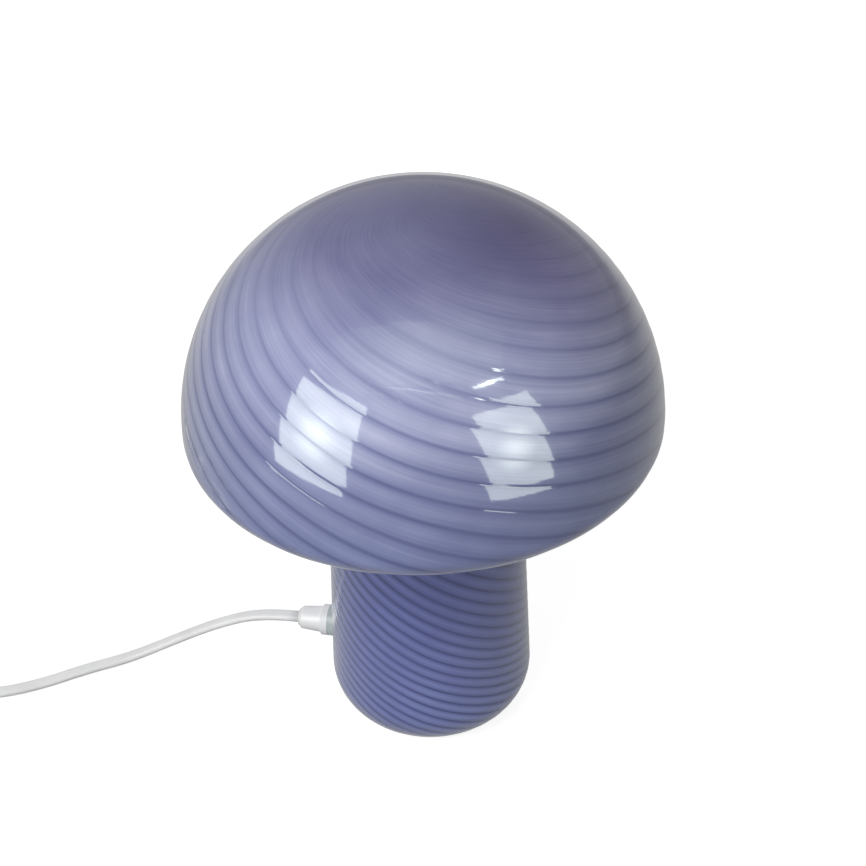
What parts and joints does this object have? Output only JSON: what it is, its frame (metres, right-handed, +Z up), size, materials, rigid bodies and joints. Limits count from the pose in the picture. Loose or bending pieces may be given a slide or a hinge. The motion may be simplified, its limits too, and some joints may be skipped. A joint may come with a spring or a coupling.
{
  "type": "mushroom table lamp",
  "caption": "One-piece mushroom table lamp: domed swirled glass cap running into a straight stem, sprung base plate with lamp holder, side cord grip, flat cord, switch and plug.",
  "frame": {"origin": "on the floor under the middle of the lamp, at the bottom of the bumper feet", "axes": "+Z up along the lamp's axis of revolution; the cord grip points along -X"},
  "size_m": [0.4374, 0.242, 0.2445],
  "materials": {
    "swirl_glass": "blown opal glass with a moulded blue-violet swirl, glossy",
    "grip_white": "moulded, slightly glossy",
    "soft_grey": "soft",
    "clear_soft": "clear soft plastic",
    "plate_steel": "white powder coat",
    "black_foam": "foam strip",
    "rivet_metal": "bright",
    "zinc_steel": "zinc plated",
    "spring_steel": "bright spring steel",
    "brass": "plain",
    "holder_plastic": "moulded",
    "insulator": "moulded",
    "black_bead": "moulded",
    "bulb_metal": "bright",
    "bulb_glass": "clear",
    "filament": "coated",
    "cord_white": "satin flat cord",
    "case_white": "moulded",
    "rocker_white": "moulded",
    "plated_pin": "nickel plated"
  },
  "bodies": {
    "lamp": {"cord_coil": "cord_white", "cord_end": "cord_white", "cord_grip": "grip_white", "cord_lead": "cord_white", "cord_tail": "cord_white", "glass_body": "swirl_glass", "grip_bush": "soft_grey", "grip_nut": "grip_white", "inner_lead": "cord_white", "inner_washer": "clear_soft", "outer_washer": "clear_soft", "plug_body": "case_white", "plug_pin_left": "plated_pin", "plug_pin_right": "plated_pin", "switch_base": "case_white", "switch_screws": "rivet_metal", "switch_terminals": "brass", "switch_top": "case_white"},
    "base": {"base_plate": "plate_steel", "foot_gasket": "black_foam", "clip_rivets": "rivet_metal", "stirrup": "zinc_steel", "stirrup_rivets": "rivet_metal", "nipple": "zinc_steel", "lock_washer": "zinc_steel", "nipple_nut": "brass", "holder_cap": "holder_plastic", "holder_shell": "holder_plastic", "holder_insulator": "insulator", "contact_shell": "brass", "centre_contact": "brass", "terminal_screws": "brass", "bumper_1": "clear_soft", "bumper_2": "clear_soft", "bumper_3": "clear_soft", "bumper_4": "clear_soft", "spring_clip_1": "spring_steel", "spring_clip_2": "spring_steel", "spring_clip_3": "spring_steel", "spring_clip_4": "spring_steel"},
    "bulb_thread": {"bulb_tip_contact": "rivet_metal"},
    "bulb": {"bulb_bead": "black_bead", "bulb_screw_cap": "bulb_metal", "bulb_envelope": "bulb_glass", "bulb_glass_stem": "bulb_glass", "filament_supports": "bulb_metal", "led_filaments": "filament"},
    "rocker": {"switch_rocker": "rocker_white"},
    "seesaw": {"switch_seesaw": "brass"}
  },
  "joints": [
    {"name": "base_pull", "type": "slide", "parent": "lamp", "child": "base", "axis": [0, 0, -1], "range_m": [0, 0.18], "deforming": ["inner_lead"]},
    {"name": "bulb_lift", "type": "slide", "parent": "base", "child": "bulb_thread", "axis": [0, 0, 1], "range_m": [0, 0.00986]},
    {"name": "bulb_turn", "type": "hinge", "parent": "bulb_thread", "child": "bulb", "pos_m": [0, 0, 0.09], "axis": [0, 0, 1], "range_deg": [0, 1260]},
    {"name": "rocker_tip", "type": "hinge", "parent": "lamp", "child": "rocker", "pos_m": [-0.25, -0.044, 0.0135], "axis": [0, 1, 0], "range_deg": [-20, 0]},
    {"name": "seesaw_tip", "type": "hinge", "parent": "lamp", "child": "seesaw", "pos_m": [-0.25, -0.044, 0.004], "axis": [0, 1, 0], "range_deg": [0, 12.1]}
  ],
  "couplings": [
    {"joint": "bulb_turn", "follows": "bulb_lift", "rad_per_m": 2228.1},
    {"joint": "seesaw_tip", "follows": "rocker_tip", "ratio": -0.6}
  ]
}
